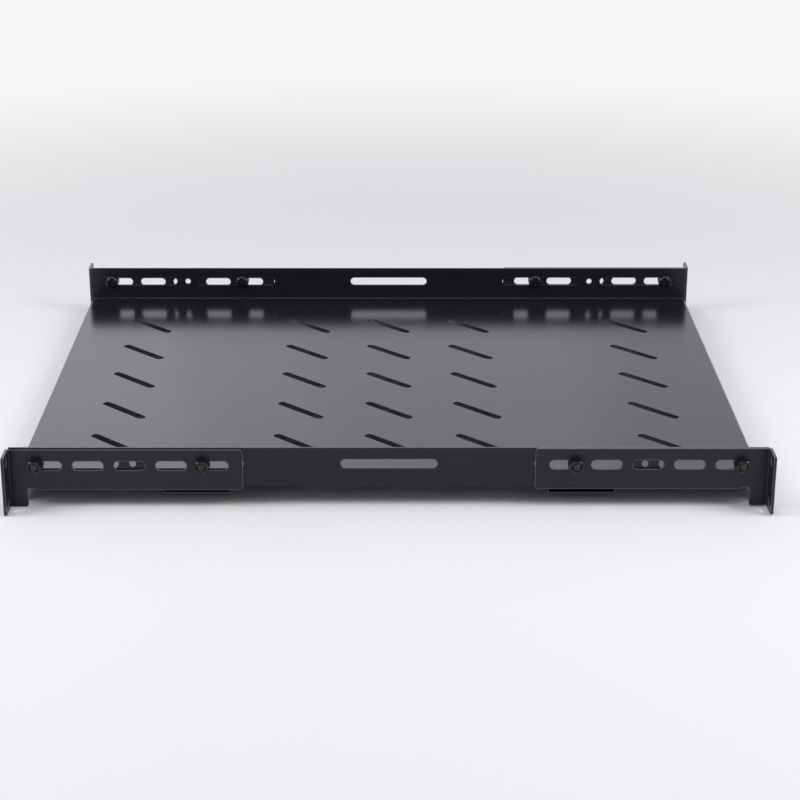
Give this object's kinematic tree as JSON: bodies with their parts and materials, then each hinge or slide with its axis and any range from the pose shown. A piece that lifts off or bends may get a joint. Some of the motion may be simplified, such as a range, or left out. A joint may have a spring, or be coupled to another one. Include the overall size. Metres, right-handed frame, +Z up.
{
  "type": "rack shelf",
  "caption": "Fixed one-unit rack shelf: folded vented tray with upturned long walls, bolted to slotted corner brackets whose ears screw to the rack posts.",
  "frame": {"origin": "under the middle of the shelf, level with the lowest ear", "axes": "+Z up; +X along the depth of the rack, from the front posts to the rear posts; +Y to the left seen from the front"},
  "size_m": [0.5528, 0.4826, 0.0454],
  "materials": {
    "powder_coat": "satin black powder coat on steel sheet",
    "bracket_coat": "satin black powder coat on steel sheet",
    "black_zinc": "glossy black zinc plating"
  },
  "bodies": {
    "tray": {"tray": "powder_coat", "rib_front": "powder_coat", "rib_rear": "powder_coat"},
    "corner_front_right": {"bracket_front_right": "bracket_coat", "bolts_front_right": "black_zinc", "washers_front_right": "black_zinc", "lock_washers_front_right": "black_zinc", "nuts_front_right": "black_zinc"},
    "corner_rear_right": {"bracket_rear_right": "bracket_coat", "bolts_rear_right": "black_zinc", "washers_rear_right": "black_zinc", "lock_washers_rear_right": "black_zinc", "nuts_rear_right": "black_zinc"},
    "corner_front_left": {"bracket_front_left": "bracket_coat", "bolts_front_left": "black_zinc", "washers_front_left": "black_zinc", "lock_washers_front_left": "black_zinc", "nuts_front_left": "black_zinc"},
    "corner_rear_left": {"bracket_rear_left": "bracket_coat", "bolts_rear_left": "black_zinc", "washers_rear_left": "black_zinc", "lock_washers_rear_left": "black_zinc", "nuts_rear_left": "black_zinc"}
  },
  "joints": [
    {"name": "slide_front_right", "type": "slide", "parent": "tray", "child": "corner_front_right", "axis": [1, 0, 0], "range_m": [-0.0065, 0.026]},
    {"name": "slide_rear_right", "type": "slide", "parent": "tray", "child": "corner_rear_right", "axis": [1, 0, 0], "range_m": [-0.026, 0.0065]},
    {"name": "slide_front_left", "type": "slide", "parent": "tray", "child": "corner_front_left", "axis": [1, 0, 0], "range_m": [-0.0065, 0.026]},
    {"name": "slide_rear_left", "type": "slide", "parent": "tray", "child": "corner_rear_left", "axis": [1, 0, 0], "range_m": [-0.026, 0.0065]}
  ]
}
